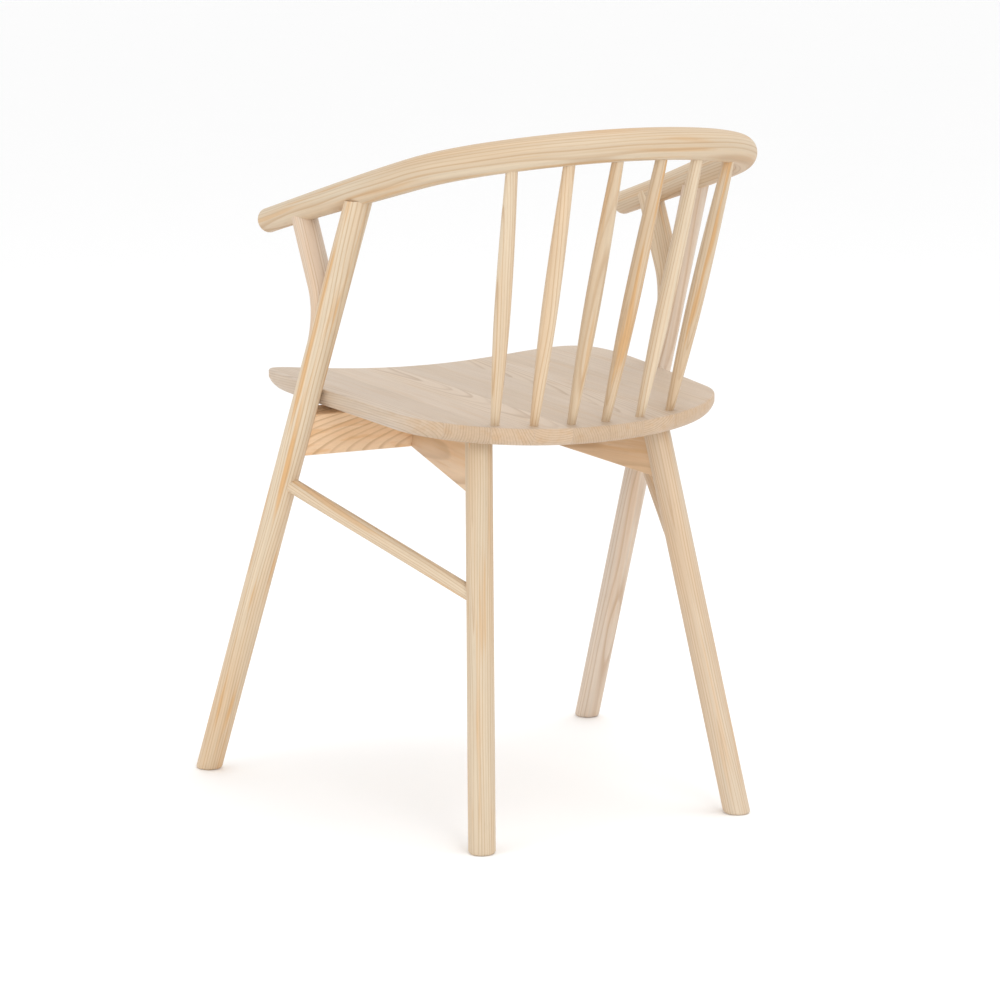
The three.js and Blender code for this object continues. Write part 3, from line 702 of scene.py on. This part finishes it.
def front_rail():
    """The board across the front, leaning back, its ends let into the front legs."""
    # Of its place in the tree only the part along it is used, because rail_figure sets the rest.
    timber = Timber("front_rail", 40, 50, runout=0.0, tone=0.0)
    lean = Vector((0, math.sin(FRONT_RAIL_TILT), math.cos(FRONT_RAIL_TILT)))
    face = Vector((0, -math.cos(FRONT_RAIL_TILT), math.sin(FRONT_RAIL_TILT)))
    base = Vector((0, FRONT_RAIL_BOTTOM[0], FRONT_RAIL_BOTTOM[1])) + face * (FRONT_RAIL_THICKNESS / 2)
    reach = front_axis(1, FRONT_RAIL_BOTTOM[1] + FRONT_RAIL_HEIGHT / 2).x - FRONT_RAIL_SHORT
    half_steps = 40
    rings, grain = [], []
    for i in range(2 * half_steps + 1):
        x = reach * (i / half_steps - 1)
        ring, vectors = [], []
        for across, height in board_section(FRONT_RAIL_THICKNESS, 0, FRONT_RAIL_HEIGHT):
            ring.append(tuple(base + face * across + lean * height + Vector((x, 0, 0))))
            vectors.append(rail_figure(timber, across, x, height))
        rings.append(ring)
        grain.append(vectors)
    piece = lofted(rings, grain)
    # Its ash carries painted light that lifts this rail's faces in the seat's shade.
    return make_piece("front_rail", *piece, timber, RAIL_ASH_WITH_PAINTED_LIGHT, "ash_frame", ["front_rail"])


def rail_figure(timber, across, along, height):
    """A plain-sawn face: the pith lies behind the board and crosses it at a slant."""
    return (
        (across + FRONT_RAIL_PITH[0] + FRONT_RAIL_SLANT[0] * along) * MM,
        (along + timber.pith[1]) * MM,
        (height + FRONT_RAIL_PITH[1] + FRONT_RAIL_SLANT[1] * along) * MM,
    )


def side_rail(name, side):
    timber = Timber(name, 60, 75, runout=0.01, tone=0.03, spread=0.12)
    # The side rails keep less of the rail ash's painted light, so their colour is darkened here.
    timber.tone *= SIDE_RAIL_TONE
    start = Vector((side * SIDE_RAIL_FRONT[0], SIDE_RAIL_FRONT[1], 0))
    stop = Vector((side * SIDE_RAIL_REAR[0], SIDE_RAIL_REAR[1], 0))
    ahead = (stop - start).normalized()
    across_way = ahead.cross(Vector((0, 0, 1)))
    length = (stop - start).length
    rings, grain = [], []
    steps = 60
    first, last = -SIDE_RAIL_PAST_FRONT, length - SIDE_RAIL_SHORT_OF_REAR
    for i in range(steps + 1):
        along = first + (last - first) * i / steps
        share = along / length
        bottom = SIDE_RAIL_FRONT[2] + (SIDE_RAIL_REAR[2] - SIDE_RAIL_FRONT[2]) * share
        centre = start + ahead * along
        top = seat_height(centre.x, centre.y) - SEAT_THICKNESS + SIDE_RAIL_INTO_SEAT
        ring, vectors = [], []
        for across, height in board_section(SIDE_RAIL_THICKNESS, bottom, top):
            # The front end leans with the front rail that it butts on.
            slide = (height - FRONT_RAIL_BOTTOM[1]) * math.tan(FRONT_RAIL_TILT) if i == 0 else 0
            ring.append(tuple(centre + across_way * across + ahead * slide + Vector((0, 0, height))))
            vectors.append(timber.at(across, along, height - 400))
        rings.append(ring)
        grain.append(vectors)
    return make_piece(name, *lofted(rings, grain), timber, RAIL_ASH_WITH_PAINTED_LIGHT, "ash_frame", [name])


# ---------------------------------------------------------------- assembly

bow = Timber("bow", 24, 30, runout=0.006, tone=0.0)
bow.tone = BOW_TONE
stick("bow_arm_and_crest_rail", bow_stations(), BOW_SIDES, bow, ["bow_arm_and_crest_rail"])

for label, sign in SIDES.items():
    leg(f"front_leg_{label}", front_axis, sign, FRONT_LEG_TOP, Timber(f"front_leg_{label}", 14, 26))
    leg(f"rear_leg_{label}", rear_axis, sign, REAR_LEG_TOP, Timber(f"rear_leg_{label}", 14, 26))
    fork(sign, Timber(f"arm_fork_{label}", 18, 30), f"arm_fork_{label}")
    stretcher(f"stretcher_{label}", sign, Timber(f"stretcher_{label}", 15, 30))
    side_rail(f"side_rail_{label}", sign)
    for number, (foot, head) in enumerate(SPINDLES, 1):
        name = f"spindle_{label}_{number}"
        low = Vector((sign * foot[0], foot[1], foot[2]))
        high = Vector((sign * head[0], head[1], head[2]))
        spindle(name, low, high, Timber(name, 6, 16, runout=0.03))

front_rail()
panel = seat_body()
for i in range(STAVE_COUNT):
    stave(panel, i)
panel.free()

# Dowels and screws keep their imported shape.
for node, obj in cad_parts.items():
    if "dowel" in node:
        finish = BEECH_DOWEL
    elif "screw" in node:
        finish = ZINC_PLATE
    else:
        continue
    obj.data.materials.clear()
    obj.data.materials.append(finish)

# ---------------------------------------------------------------- stage, light and camera


def paint(name, colour, roughness):
    material, tree, shader = new_material(name)
    place = tree.nodes.new("ShaderNodeTexCoord").outputs["Object"]
    cloud = noise(tree, place, (1.5, 1.5, 1.5), 3.0)
    lower = tuple(c * 0.995 for c in colour)
    plug(tree, shader.inputs["Base Color"], blend(tree, cloud, (*lower, 1), (*colour, 1)))
    shader.inputs["Roughness"].default_value = roughness
    return material


FLOOR_REACH = 40.0  # metres from the chair to each edge

floor_mesh = bpy.data.meshes.new("floor")
floor_corners = [(x * FLOOR_REACH, y * FLOOR_REACH, 0) for x, y in ((-1, -1), (1, -1), (1, 1), (-1, 1))]
floor_mesh.from_pydata(floor_corners, [], [(0, 1, 2, 3)])
floor = bpy.data.objects.new("floor", floor_mesh)
floor_mesh.materials.append(paint("studio_floor", (0.975, 0.975, 0.975), 0.9))
bpy.context.scene.collection.objects.link(floor)

world = bpy.data.worlds.new("studio")
bpy.context.scene.world = world
world.use_nodes = True
world.node_tree.nodes["Background"].inputs["Color"].default_value = (1, 1, 1, 1)
world.node_tree.nodes["Background"].inputs["Strength"].default_value = 1.0


def soft_light(name, place, aim, size, energy):
    data = bpy.data.lights.new(name, "AREA")
    data.shape = "DISK"
    data.size = size
    data.energy = energy
    lamp = bpy.data.objects.new(name, data)
    lamp.location = place
    lamp.rotation_euler = (Vector(aim) - Vector(place)).to_track_quat("-Z", "Y").to_euler()
    bpy.context.scene.collection.objects.link(lamp)


soft_light("key", place=(0.6, 4.0, 2.4), aim=(0, 0, 0.45), size=2.0, energy=38)
soft_light("fill", place=(3.6, 0.4, 1.5), aim=(0, 0, 0.45), size=2.4, energy=17)
soft_light("top", place=(-0.9, 0.4, 4.2), aim=(0, 0, 0), size=2.4, energy=30)

bpy.context.scene.view_settings.view_transform = "Standard"

EYE = Vector((1.87723, 3.21191, 0.98605))
LOOK = Vector((-0.493424, -0.852549, -0.172316))
camera_data = bpy.data.cameras.new("camera")
camera_data.sensor_width = 36
camera_data.lens = 120.78
camera = bpy.data.objects.new("camera", camera_data)
camera.location = EYE
camera.rotation_euler = LOOK.to_track_quat("-Z", "Y").to_euler()
bpy.context.scene.collection.objects.link(camera)
bpy.context.scene.camera = camera
